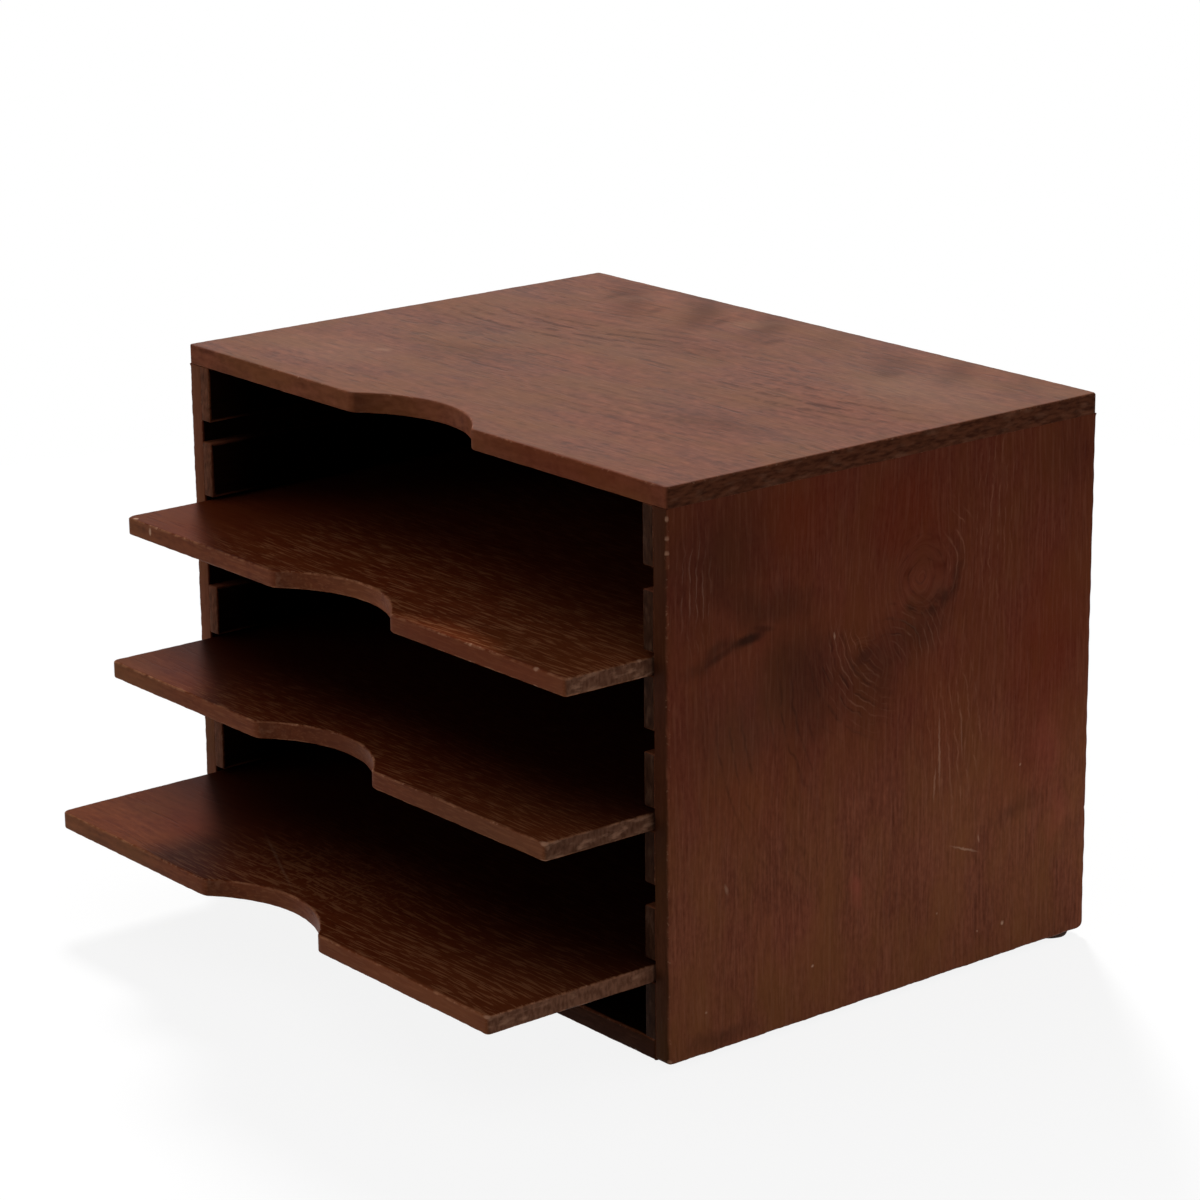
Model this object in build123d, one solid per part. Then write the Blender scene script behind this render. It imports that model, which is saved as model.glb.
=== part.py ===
from build123d import *
import os

# Paper tray rack: an open-fronted wooden case with three flat trays that slide in grooves.
# Millimetres. X is to the right, Y to the back, Z up. The origin is the centre of the
# case's footprint on the surface that it stands on, and the open front faces -Y.

# Case
case_width = 340.0
case_depth = 242.0
side_thick = 8.5
top_thick = 9.0
bottom_thick = 9.0
back_thick = 4.0
rebate_share = 0.5  # of the side's and the top's thickness, cut away for the back panel
back_fit = 0.3  # gap round the edge of the back panel in its rebate

# Runner strips on the inside of the sides, and the grooves between them
runner_thick = 6.5
upper_runner_height = 25.5
lower_runner_height = 23.0
bottom_runner_height = 25.0
upper_runner_count = 2
lower_runner_count = 4
groove_height = 10.0

# Trays, each in the lower one of its grooves, and how far each is pulled out
tray_thick = 8.0
tray_side_gap = 1.5
tray_back_gap = 1.0
grooves_per_tray_count = 2
upper_tray_pull = 44.0
middle_tray_pull = 55.5
lower_tray_pull = 85.5

# Finger scoop in the front edge of the top board and of each tray
scoop_width = 86.0
scoop_depth = 18.0
scoop_shoulder_radius = 6.0

# Rounding
board_corner_radius = 1.5
board_arris_radius = 0.9
side_arris_radius = 1.4
runner_arris_radius = 0.6

# Foot pads: the rear ones stand at the corners, the front ones further in
foot_diameter = 18.0
foot_thick = 3.0
foot_arris_radius = 0.6
rear_foot_side_inset = 2.5
rear_foot_end_inset = 1.5
front_foot_side_inset = 16.0
front_foot_end_inset = 16.0

# Dowels that join the top and the bottom to the sides
dowel_diameter = 4.0
dowel_length = 16.0
dowel_bite_share = 0.6  # of the thickness of the board whose face is drilled
dowel_place_shares = (0.15, 0.5, 0.85)  # along the case's depth
dowel_fit = 0.1  # glue gap round a dowel, and past each of its ends

# Pins that hold the back panel
pin_length = 14.0
pin_diameter = 1.2
pin_head_diameter = 2.8
pin_head_thick = 0.7
pin_fit = 0.1
pin_side_shares = (0.12, 0.37, 0.63, 0.88)  # up the sides
pin_level_shares = (0.2, 0.4, 0.6, 0.8)  # along the top and the bottom

# Worked out from the sizes above
front_y = -case_depth / 2
rear_y = case_depth / 2
back_front_y = rear_y - back_thick
inner_depth = case_depth - back_thick
half_width = case_width / 2
half_inner_width = half_width - side_thick
runner_heights = (
    [upper_runner_height] * upper_runner_count
    + [lower_runner_height] * lower_runner_count
    + [bottom_runner_height]
)
groove_count = len(runner_heights) - 1
side_height = bottom_thick + sum(runner_heights) + groove_height * groove_count
base_z = foot_thick
inner_floor_z = base_z + bottom_thick
side_top_z = base_z + side_height
side_rebate = side_thick * rebate_share
top_rebate = top_thick * rebate_share
SIDES = {"left": -1, "right": 1}


def box(low, high):
    """Box between two corners."""
    size = [b - a for a, b in zip(low, high)]
    middle = [(a + b) / 2 for a, b in zip(low, high)]
    return Pos(*middle) * Box(*size)


def rod(start, direction, diameter, length):
    """Round rod that starts at a point and runs along a direction."""
    return extrude(Plane(start, z_dir=direction) * Circle(diameter / 2), length)


def runner_floor(number):
    """Height of the underside of a runner, counted from 1 at the top."""
    below = runner_heights[number:]
    return inner_floor_z + sum(below) + groove_height * len(below)


def groove_floor(number):
    """Height of the floor of a groove, counted from 1 at the top: the top of the runner below it."""
    return runner_floor(number + 1) + runner_heights[number]


def scooped_board(width, depth, thick):
    """Flat board with its front edge on y = 0, its underside on z = 0 and a finger scoop in that edge.

    The scoop is an arc through its two ends and its deepest point, with rounded shoulders."""
    scoop_radius = (scoop_width**2 / 4 + scoop_depth**2) / (2 * scoop_depth)
    plan = Pos(0, depth / 2) * Rectangle(width, depth)
    plan -= Pos(0, scoop_depth - scoop_radius) * Circle(scoop_radius)
    front = plan.vertices().group_by(Axis.Y)[0].sort_by(lambda vertex: abs(vertex.X))
    plan = fillet(front[:2], scoop_shoulder_radius)
    by_distance = plan.vertices().sort_by(lambda vertex: abs(vertex.X))
    plan = fillet(by_distance[-4:], board_corner_radius)
    board = extrude(plan, thick)
    faces = board.faces().sort_by(Axis.Z)
    arrises = faces[0].edges() + faces[-1].edges()
    return fillet(arrises, board_arris_radius)


def pin_places():
    """Middle of each back-panel pin, seen from behind: X and Z, with the name of the piece that it bites."""
    side_x = half_inner_width + side_rebate / 2
    for name, sign in SIDES.items():
        for share in pin_side_shares:
            yield sign * side_x, base_z + side_height * share, name
    for share in pin_level_shares:
        x = half_inner_width * (2 * share - 1)
        yield x, base_z + bottom_thick / 2, "bottom"
        yield x, side_top_z + top_rebate / 2, "top"


def pin(x, z, fit):
    """Panel pin driven in from behind, head flush with the back; fit opens it out to its hole."""
    shank = rod((x, rear_y, z), (0, -1, 0), pin_diameter + 2 * fit, pin_length + fit)
    head = rod((x, rear_y, z), (0, -1, 0), pin_head_diameter + 2 * fit, pin_head_thick + fit)
    return shank + head


def pin_holes(name):
    """Holes for the pins that bite one piece, or for all of them in the back panel."""
    return [pin(x, z, pin_fit) for x, z, bites in pin_places() if name in (bites, "back")]


def dowel_y(share):
    """Place of a dowel along the depth."""
    return front_y + case_depth * share


def top_dowel(sign, share, fit):
    """Upright dowel from a side's top edge into the top board."""
    start_z = side_top_z + top_thick * dowel_bite_share - dowel_length - fit
    start = (sign * (half_width - side_thick / 2), dowel_y(share), start_z)
    return rod(start, (0, 0, 1), dowel_diameter + 2 * fit, dowel_length + 2 * fit)


def bottom_dowel(sign, share, fit):
    """Level dowel from the bottom board's end into a side."""
    start_x = half_inner_width + side_thick * dowel_bite_share - dowel_length - fit
    start = (sign * start_x, dowel_y(share), base_z + bottom_thick / 2)
    return rod(start, (sign, 0, 0), dowel_diameter + 2 * fit, dowel_length + 2 * fit)


def dowels(maker, signs, fit):
    """All dowels of one kind on the given sides."""
    return [maker(sign, share, fit) for sign in signs for share in dowel_place_shares]


def side_panel(sign):
    """Side panel, rebated behind for the back panel, with its outer arrises rounded except under the top."""
    inner_x = sign * half_inner_width
    outer_x = sign * half_width
    low_x, high_x = sorted((inner_x, outer_x))
    panel = box((low_x, front_y, base_z), (high_x, rear_y, side_top_z))
    outer_face = panel.faces().sort_by(Axis.X)[-1 if sign > 0 else 0]
    arrises = outer_face.edges().sort_by(Axis.Z)[:-1]
    panel = fillet(arrises, side_arris_radius)
    low_x, high_x = sorted((inner_x, inner_x + sign * side_rebate))
    panel -= box((low_x, back_front_y, base_z), (high_x, rear_y, side_top_z))
    panel -= dowels(top_dowel, [sign], dowel_fit)
    panel -= dowels(bottom_dowel, [sign], dowel_fit)
    return panel - pin_holes("right" if sign > 0 else "left")


def top_board():
    """Top board, lapped over the sides, with a stopped rebate behind for the back panel."""
    board = Pos(0, front_y, side_top_z) * scooped_board(case_width, case_depth, top_thick)
    reach = half_inner_width + side_rebate
    board -= box((-reach, back_front_y, side_top_z), (reach, rear_y, side_top_z + top_rebate))
    board -= dowels(top_dowel, SIDES.values(), dowel_fit)
    return board - pin_holes("top")


def bottom_board():
    """Bottom board, between the sides and in front of the back panel."""
    board = box((-half_inner_width, front_y, base_z), (half_inner_width, back_front_y, inner_floor_z))
    front_arrises = board.faces().sort_by(Axis.Y)[0].edges().filter_by(Axis.X)
    board = fillet(front_arrises, board_arris_radius)
    board -= dowels(bottom_dowel, SIDES.values(), dowel_fit)
    return board - pin_holes("bottom")


def back_panel():
    """Thin back panel in its rebate, flush with the rear edges of the case."""
    reach = half_inner_width + side_rebate - back_fit
    panel = box((-reach, back_front_y, base_z), (reach, rear_y, side_top_z + top_rebate - back_fit))
    return panel - pin_holes("back")


def runner(sign, number):
    """Runner strip on a side's inner face, with the arrises of its free face rounded."""
    outer_x = sign * half_inner_width
    inner_x = outer_x - sign * runner_thick
    low_x, high_x = sorted((inner_x, outer_x))
    low_z = runner_floor(number)
    strip = box((low_x, front_y, low_z), (high_x, back_front_y, low_z + runner_heights[number - 1]))
    free_face = strip.faces().sort_by(Axis.X)[0 if sign > 0 else -1]
    return fillet(free_face.edges(), runner_arris_radius)


def tray(number, pull):
    """Flat sliding tray, counted from 1 at the top, resting on its runners and pulled out by some length."""
    width = 2 * (half_inner_width - tray_side_gap)
    board = scooped_board(width, inner_depth - tray_back_gap, tray_thick)
    return Pos(0, front_y - pull, groove_floor(number * grooves_per_tray_count)) * board


def foot(x_sign, y_sign):
    """Round pad under a corner of the case, its lower arris rounded."""
    at_rear = y_sign > 0
    side_inset = rear_foot_side_inset if at_rear else front_foot_side_inset
    end_inset = rear_foot_end_inset if at_rear else front_foot_end_inset
    x = x_sign * (half_width - side_inset - foot_diameter / 2)
    y = y_sign * (case_depth / 2 - end_inset - foot_diameter / 2)
    pad = rod((x, y, 0), (0, 0, 1), foot_diameter, foot_thick)
    return fillet(pad.edges().sort_by(Axis.Z)[0], foot_arris_radius)


pieces = {
    "top_board": top_board(),
    "bottom_board": bottom_board(),
    "back_panel": back_panel(),
    "upper_tray": tray(1, upper_tray_pull),
    "middle_tray": tray(2, middle_tray_pull),
    "lower_tray": tray(3, lower_tray_pull),
    "top_dowels": Compound(dowels(top_dowel, SIDES.values(), 0)),
    "bottom_dowels": Compound(dowels(bottom_dowel, SIDES.values(), 0)),
    "back_panel_pins": Compound([pin(x, z, 0) for x, z, _ in pin_places()]),
}
for side_name, side_sign in SIDES.items():
    pieces[f"{side_name}_side_panel"] = side_panel(side_sign)
    pieces[f"front_{side_name}_foot"] = foot(side_sign, -1)
    pieces[f"rear_{side_name}_foot"] = foot(side_sign, 1)
    for runner_number in range(1, len(runner_heights) + 1):
        pieces[f"{side_name}_runner_{runner_number}"] = runner(side_sign, runner_number)

os.makedirs("parts", exist_ok=True)
for piece_name, piece in pieces.items():
    export_step(piece, f"parts/{piece_name}.step")
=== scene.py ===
import math

import bmesh
import bpy
import numpy as np
from mathutils import Matrix, Vector


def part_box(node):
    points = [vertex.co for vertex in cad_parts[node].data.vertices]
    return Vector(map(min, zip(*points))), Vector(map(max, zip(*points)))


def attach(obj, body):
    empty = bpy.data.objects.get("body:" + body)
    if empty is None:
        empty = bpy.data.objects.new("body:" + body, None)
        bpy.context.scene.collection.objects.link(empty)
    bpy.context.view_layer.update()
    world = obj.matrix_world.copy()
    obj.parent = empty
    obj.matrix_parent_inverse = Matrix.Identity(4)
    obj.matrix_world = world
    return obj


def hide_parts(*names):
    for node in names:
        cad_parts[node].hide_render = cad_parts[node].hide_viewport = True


# Paper tray rack: an open-fronted case in dark stained hardwood, with three flat trays that slide
# in grooves. Lengths are millimetres in this script and metres in Blender.

MM = 0.001  # metres in a millimetre

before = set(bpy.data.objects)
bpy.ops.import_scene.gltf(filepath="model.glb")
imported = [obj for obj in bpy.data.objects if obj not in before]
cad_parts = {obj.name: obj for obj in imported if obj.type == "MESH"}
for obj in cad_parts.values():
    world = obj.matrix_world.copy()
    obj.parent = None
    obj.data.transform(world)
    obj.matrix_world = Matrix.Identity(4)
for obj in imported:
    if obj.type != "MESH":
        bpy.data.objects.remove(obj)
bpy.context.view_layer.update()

# Camera, as the photograph was taken
CAMERA_AZIMUTH = 51.09  # degrees round from straight in front, towards the right side
CAMERA_ELEVATION = 16.55
CAMERA_ROLL = -0.58
CAMERA_DISTANCE = 1758.5
CAMERA_AIM = (-11.9, -8.2, 140.2)
CAMERA_LENS = 116.49
CAMERA_SENSOR = 36.0

# Shapes that the boards share
SCOOP_WIDTH = 86.0
SCOOP_DEPTH = 18.0
SCOOP_SHOULDER = 6.0
BOARD_STEP = 1.0  # spacing of points round a board
RUNNER_STEP = 1.8  # the same round a runner strip
ARRIS_STEPS = 5  # rows round an arris
RUB_BAND = 0.8  # width of the rubbed band beside an arris
BACK_FIT = 0.3  # gap round the back panel
PIN_STAND = 0.15  # how far the pin heads stand proud of the back panel
TRAY_LIFT = 0.03  # hair's breadth by which a tray clears the runners that it slides on
WELD = 0.001  # points closer than this are one
RUNNER_COUNT = 7  # runner strips on each side
SIDES = {"left": -1, "right": 1}

# How outlines are cut, and how boards and pads wear
ARC_POINTS = 5  # fewest points on an arc
ARC_ROOM = 0.9  # share of its radius by which an arc may move inwards
FACE_DRAWS = (1.0, 0.75, 0.4, 0.12)  # how far each face row draws inwards
ARRIS_WEAR = ((0.3, (9.0, 21.0, 47.0), 0), (0.12, (3.1, 4.7), 7))  # share of an arris, waves, seed step
RUB_WAVES = (14.0, 33.0, 80.0)  # lengths of the waves in which the arrises are rubbed
RUB_SEED_STEP = 3
SHARP_ARRIS = 0.08  # share of a side's arris that is left right under the top board
ARRIS_GROWTH = 0.6  # how fast it grows below that, for each millimetre
PLAIN_ARRIS = 0.1  # share of an arris that is left where a board isn't rounded
ARRIS_MARGIN = 1.0  # how far from a board's end its rounded arris stops
PAD_POINTS = 96  # round a pad
PAD_RIM_ROWS = 9
PAD_FLAT = (0.0, 0.5, 0.9)  # radii of the rows on a pad's two flats, as shares of its own
PAD_BULGE = 0.05  # of its rim, as a share of its radius
PAD_TURN_IN = 0.02  # share of its height that turns in above and below
PAD_UNEVEN = 0.02  # how uneven its outline is
PAD_WAVES = (2, 3, 5, 9)  # waves round it


def corner_arcs(low, high, radius):
    """The four corner arcs of a rectangle, counter-clockwise from right and near, of one radius or of four.

    An arc is its centre, radius, the degrees at which it starts and stops, and 1 if it bulges outwards."""
    corners = [
        (high[0], low[1], -1, 1),
        (high[0], high[1], -1, -1),
        (low[0], high[1], 1, -1),
        (low[0], low[1], 1, 1),
    ]
    radii = np.broadcast_to(radius, len(corners))
    return [((x + r * x_way, y + r * y_way), r, -90 + 90 * turn, 90 * turn, 1)
            for turn, (r, (x, y, x_way, y_way)) in enumerate(zip(radii, corners))]


def scooped_arcs(low, high, radius):
    """Corner arcs of a board with a finger scoop in its front edge.

    The scoop's circle passes through both of its ends and its deepest point. A shoulder circle touches the
    front edge and the scoop's circle, so its centre lies at the sum of the two radii from the scoop's."""
    front = low[1]
    middle = (low[0] + high[0]) / 2
    scoop = (SCOOP_WIDTH ** 2 / 4 + SCOOP_DEPTH ** 2) / (2 * SCOOP_DEPTH)
    scoop_centre = front + SCOOP_DEPTH - scoop
    rise = front + SCOOP_SHOULDER - scoop_centre
    reach = math.sqrt((scoop + SCOOP_SHOULDER) ** 2 - rise ** 2)
    lean = math.degrees(math.atan2(reach, rise))
    shoulders = [
        ((middle - reach, front + SCOOP_SHOULDER), SCOOP_SHOULDER, -90, -90 + lean, 1),
        ((middle, scoop_centre), scoop, 90 + lean, 90 - lean, -1),
        ((middle + reach, front + SCOOP_SHOULDER), SCOOP_SHOULDER, -90 - lean, -90, 1),
    ]
    return shoulders + corner_arcs(low, high, radius)


def trace(arcs, step):
    """Closed plan line: arcs in order, joined by straight runs, all cut into about even steps.

    An arc's point is centre + radius (cos a, sin a), with a going evenly from start to stop. Returns points,
    outward normals, and how far each point may move inwards before the arcs cross themselves."""
    points, normals, room = [], [], []
    for here, there in zip(arcs, arcs[1:] + arcs[:1]):
        centre, radius, start, stop, outward = here
        count = ARC_POINTS + int(radius * abs(math.radians(stop - start)) / step)
        angle = np.radians(np.linspace(start, stop, count))
        ray = np.stack([np.cos(angle), np.sin(angle)], 1)
        points.append(np.array(centre) + radius * ray)
        normals.append(outward * ray)
        room_here, room_there = (ARC_ROOM * arc[1] if arc[4] > 0 else np.inf for arc in (here, there))
        room.append(np.full(count, room_here))
        first = math.radians(there[2])
        end = np.array(there[0]) + there[1] * np.array([math.cos(first), math.sin(first)])
        run = end - points[-1][-1]
        length = max(np.linalg.norm(run), WELD)
        share = np.linspace(0, 1, 2 + int(length / step))[1:-1, None]
        points.append(points[-1][-1] + share * run)
        normals.append(np.repeat([[run[1] / length, -run[0] / length]], len(share), 0))
        room.append(np.minimum(room_here + length * share, room_there + length * (1 - share))[:, 0])
    return np.concatenate(points), np.concatenate(normals), np.concatenate(room)


def unevenness(points, waves, seed):
    """Smooth uneven line round an outline, from -1 to 1: sine waves of random phase and direction."""
    rng = np.random.default_rng(seed)
    total = np.zeros(len(points))
    for wave in waves:
        turn = rng.uniform(0, 2 * np.pi)
        along = points @ np.array([np.cos(turn), np.sin(turn)])
        total += np.sin(2 * np.pi * along / wave + rng.uniform(0, 2 * np.pi))
    return total / len(waves)


def board_surface(points, normals, room, thick, arris, under_arris, rebate=None):
    """Closed board: a plan outline carried down an edge profile, from one face to the other.

    Round an arris of radius r, at angle a, a row lies r(1 - sin a) inside the outline and r(1 - cos a) below
    the face. Face rows draw in from there to a line in the middle of the board. In a rebate, rows below a
    depth stop at a limit on one plan axis. Returns plan places, depths, the share of each row that is arris,
    and which rows are upper face (1) and under face (-1)."""
    angle = np.linspace(0, np.pi / 2, ARRIS_STEPS + 1)[:, None]
    in_up = arris * (1 - np.sin(angle))
    deep_up = arris * (1 - np.cos(angle))
    in_down = (under_arris * (1 - np.sin(angle)))[::-1]
    deep_down = thick - (under_arris * (1 - np.cos(angle)))[::-1]
    level = np.zeros((1, len(points)))
    split = rebate["depth"] if rebate else thick / 2
    inside = np.concatenate([[arris + RUB_BAND], in_up, level, level, in_down, [under_arris + RUB_BAND]])
    depth = np.concatenate([level, deep_up, level + split, level + split, deep_down, level + thick])
    arc = np.sin(2 * angle) ** 0.5
    rubbed = np.concatenate([level, arc + level, level, level, arc[::-1] + level, level])
    inside = np.minimum(inside, room)
    place = points - normals * inside[:, :, None]
    low, high = points.min(0), points.max(0)
    middle = (low + high) / 2
    reach = np.maximum((high - low) / 2 - (high - low).min() / 2, 0)
    draws = np.array(FACE_DRAWS)[:, None, None]
    spine_top = np.clip(place[0], middle - reach, middle + reach)
    spine_low = np.clip(place[-1], middle - reach, middle + reach)
    upper = place[0] + draws * (spine_top - place[0])
    lower = place[-1] + draws[::-1] * (spine_low - place[-1])
    rows = np.concatenate([upper, place, lower])
    plain = np.zeros((len(draws), len(points)))
    depth = np.concatenate([plain + depth[:1], depth, plain + depth[-1:]])
    rubbed = np.concatenate([plain, rubbed, plain])
    face = np.zeros(depth.shape)
    face[:len(draws) + 1] = 1
    face[-len(draws) - 1:] = -1
    if rebate:
        first = len(draws) + 2 + len(angle)
        axis = rebate["axis"]
        within = np.abs(rows[first:, :, 1 - axis] - middle[1 - axis]) < rebate["reach"]
        limited = np.minimum(rows[first:, :, axis], rebate["limit"])
        rows[first:, :, axis] = np.where(within, limited, rows[first:, :, axis])
    return rows, depth, rubbed, face


def grid_mesh(name, grid, attributes=None):
    """Mesh from rows of points that close on themselves sideways. The end rows fold shut and are welded."""
    rows, count, _ = grid.shape
    index = np.arange(rows * count).reshape(rows, count)
    beside = np.roll(index, -1, 1)
    quads = np.stack([index[:-1], beside[:-1], beside[1:], index[1:]], -1).reshape(-1, 4)
    mesh = bpy.data.meshes.new(name)
    mesh.from_pydata((grid.reshape(-1, 3) * MM).tolist(), [], quads.tolist())
    for key, values in (attributes or {}).items():
        layer = mesh.attributes.new(key, "FLOAT", "POINT")
        layer.data.foreach_set("value", values.ravel().astype(np.float32))
    work = bmesh.new()
    work.from_mesh(mesh)
    bmesh.ops.remove_doubles(work, verts=work.verts, dist=WELD * MM)
    bmesh.ops.recalc_face_normals(work, faces=work.faces)
    work.to_mesh(mesh)
    work.free()
    mesh.shade_smooth()
    return mesh


def new_object(name, data):
    """New object in the scene."""
    made = bpy.data.objects.new(name, data)
    bpy.context.scene.collection.objects.link(made)
    return made


def place_piece(name, mesh, node, body, material):
    """Object that stands for a CAD node: it rides on the node's body and takes its finish from its slot."""
    piece = new_object(name, mesh)
    mesh.materials.append(material)
    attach(piece, body)
    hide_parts(node)
    return piece


def node_box(node):
    """Lowest and highest corner of a CAD node, in millimetres."""
    low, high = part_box(node)
    return np.array(low) / MM, np.array(high) / MM


def chip_swell(points, chips):
    """Extra arris radius at chips, and how chipped each point is: a bell curve of its distance from them."""
    swell = np.zeros(len(points))
    bare = np.zeros(len(points))
    for first, second, width, depth in chips:
        near = np.exp(-(((points - (first, second)) ** 2).sum(1)) / width ** 2)
        swell += depth * near
        bare = np.maximum(bare, near)
    return swell, bare


def worn_board(node, body, material, plan, face, arris, under_arris, corner, arcs=corner_arcs,
               soft=None, under_soft=None, rebate=None, chips=(), inside=None, stand=0.0, lift=0.0,
               step=BOARD_STEP, seed=1):
    """Board with worn arrises in the place of a CAD node.

    plan names the two axes of its outline, face the axis through it and the way that its upper face looks.
    soft and under_soft scale the two arrises round the outline. Wear only takes wood away, so the board stays
    inside the solid. inside says which face looks into the case, upper or under. stand lowers the upper face,
    lift raises the under one."""
    low, high = node_box(node)
    axes = ["XYZ".index(letter) for letter in plan]
    through = "XYZ".index(face[1])
    points, normals, room = trace(arcs(low[axes], high[axes], corner), step)
    uneven = 1 + sum(share * unevenness(points, waves, seed + more) for share, waves, more in ARRIS_WEAR)
    swell, bare = chip_swell(points, chips)
    scale = soft(points, low[axes], high[axes]) if soft else 1.0
    under_scale = under_soft(points, low[axes], high[axes]) if under_soft else 1.0
    thick = (high - low)[through] - stand - lift
    upper_radius = arris * scale * uneven + swell
    under_radius = under_arris * under_scale * uneven
    rows, depth, rubbed, face_side = board_surface(
        points, normals, room, thick, upper_radius, under_radius, rebate)
    grid = np.empty(rows.shape[:2] + (3,))
    grid[:, :, axes] = rows
    depth = depth + stand
    grid[:, :, through] = high[through] - depth if face[0] == "+" else low[through] + depth
    amount = np.clip(0.5 + 0.5 * unevenness(points, RUB_WAVES, seed + RUB_SEED_STEP), 0, 1)
    # Faces that look into the case, which the finish paints near black as painted shade
    facing_in = face_side == {"upper": 1, "under": -1, None: 2}[inside]
    wear = {"rubbed": rubbed * amount, "bare": rubbed * bare, "inside": facing_in.astype(float)}
    return place_piece("worn_" + node, grid_mesh("worn_" + node, grid, wear), node, body, material)


def felt_pad(node, body, material, seed):
    """Pressed felt disc under a corner: a profile of radius and height turned about its upright axis.

    Its rim bulges by a sine of the height, and every radius shrinks by a few slow waves round the axis."""
    low, high = node_box(node)
    middle = (low + high) / 2
    turn = np.linspace(0, 2 * np.pi, PAD_POINTS, endpoint=False)
    rim = np.linspace(0, 1, PAD_RIM_ROWS)
    flat = np.array(PAD_FLAT)
    rim_radius = 1 - PAD_BULGE + PAD_BULGE * np.sin(np.pi * rim)
    rim_height = 1 - PAD_TURN_IN - (1 - 2 * PAD_TURN_IN) * rim
    profile_radius = np.concatenate([flat, rim_radius, flat[::-1]])
    profile_height = np.concatenate([np.ones_like(flat), rim_height, np.zeros_like(flat)])
    rng = np.random.default_rng(seed)
    waves = sum(np.sin(k * turn + rng.uniform(0, 2 * np.pi)) for k in PAD_WAVES) / len(PAD_WAVES)
    radius = (high - low)[0] / 2 * profile_radius[:, None] * (1 - PAD_UNEVEN * (1 + waves))
    height = low[2] + (high - low)[2] * profile_height[:, None] + np.zeros_like(turn)
    grid = np.stack([middle[0] + radius * np.cos(turn), middle[1] + radius * np.sin(turn), height], -1)
    return place_piece("felt_" + node, grid_mesh("felt_" + node, grid), node, body, material)


# Finishes

# Noises: cell size in millimetres along, across and through the grain, the levels between which the noise
# comes in, or None for the noise as it is, and its detail
STRAY = ((190, 70, 60), None, None, 1.0)
CLOUDS = ((60, 30, 30), None, None, 3.0)
WARMTH = ((38, 22, 22), None, None, 4.0)
PORE_BANDS = ((150, 16, 16), 0.42, 0.6, 2.0)
LINE_BREAKS = ((7, 7, 7), 0.36, 0.6, 4.0)
RIPPLE_DOTS = ((2.2, 2.6, 2.2), 0.52, 0.66, 2.0)
SCUFFS = ((4, 9, 3), 0.5, 0.7, 4.0)
RUBBED_PATCHES = ((5, 3, 3), 0.38, 0.62, 3.0)
NICKS = ((1.5, 1.5, 1.5), 0.6, 0.68, 2.0)
FELT_FIBRES = ((1.4, 0.5, 0.6), 0.3, 0.7, 3.0)
STEEL_DULLNESS = ((0.8, 0.8, 0.8), 0.3, 0.7, 3.0)
RUST_SPOTS = ((2.5, 2.5, 2.5), 0.55, 0.7, 2.0)
BEECH_FLECKS = ((1.2, 1.2, 1.2), 0.55, 0.7, 2.0)
BEECH_TONE = ((6, 6, 6), None, None, 2.0)

# The same without a size, for the noises whose size each board gives
FIBRES = (None, None, 3.0)
GRIT = (None, None, 2.0)
PORES = (0.54, 0.66, 3.0)
STREAKS = (0.52, 0.62, 3.0)
END_DOTS = (0.3, 0.7, 4.0)

# Ragged edges: cell size of the noise that moves them, and about twice how far it does
KNOT_EDGE = (17.0, 9.0)
SPOT_GRAIN, SPOT_DRIFT = (2.0, 1.6), (20.0, 22.0)
SCRATCH_GRAIN = (2.0, 1.2)
LINE_WAVER, LINE_GRAIN = (11.0, 5.0), (3.0, 1.0)

# Fades: where they begin and end, as shares of a half-length, an attribute, a noise or a full facing
KNOT_RINGS = (1.8, 0.9)
KNOT_HEART = (1.3, 0.2)
LINE_ZONE = (1.0, 0.2)
RIPPLE_ZONE = (1.0, 0.4)
CHIP_BARE = (0.25, 0.8)
WARM_FADE = (0.4, 0.66)
FACING = (0.5, 0.95)
FILM_FACING = (0.6, 0.95)

KNOT_DEPTH = 10  # how far a knot reaches through the board, in its radii
KNOT_CORE = 0.5  # square of the distance within which the grain is pushed aside no further
SOFTEST_SCRATCH = 0.85  # a mark that fades over more of its size is a soft spot
BAND_BEGIN = 0.1  # rings that begin at this share of their spacing, or sooner, are bands and not lines
WARM_SHARE = 0.6  # strength of the warm clouds
CHIP_SHARE = 0.6  # strength of the bare wood in chips
INSIDE_SHARE = 0.93  # how black the faces inside the case are painted, as painted shade for the dark inside of the case
END_RINGS = 0.25  # share of the growth rings on end grain
EDGE_PORES, EDGE_STREAKS = 0.55, 0.35  # share of the pores and streaks that the narrow faces show
RING_STRETCH = (0.08, 1.0, 1.0)  # growth rings are drawn out along the grain
RING_TURN = 2 * math.pi / 20  # a ring texture turns once in this many of its own units
RING_WAVER = (5.0, 2.0, 1.5)  # distortion of the rings, its detail and its scale
RELIEF = (0.4, -1.0, 0.5)  # height of fibres, pores and streaks
ROUGHNESS = (0.15, 0.32)  # how much the clouds vary it, and its least


def linear(colour):
    """sRGB hex colour as linear red, green, blue and opacity."""
    values = np.array([int(colour[i:i + 2], 16) for i in (1, 3, 5)]) / 255
    low = values / 12.92
    high = ((values + 0.055) / 1.055) ** 2.4
    return (*np.where(values <= 0.04045, low, high).tolist(), 1.0)


# Setting of a shader node that comes after a dot in its kind
SORTS = {"Math": "operation", "VectorMath": "operation", "MapRange": "interpolation_type", "Mix": "data_type"}


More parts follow.
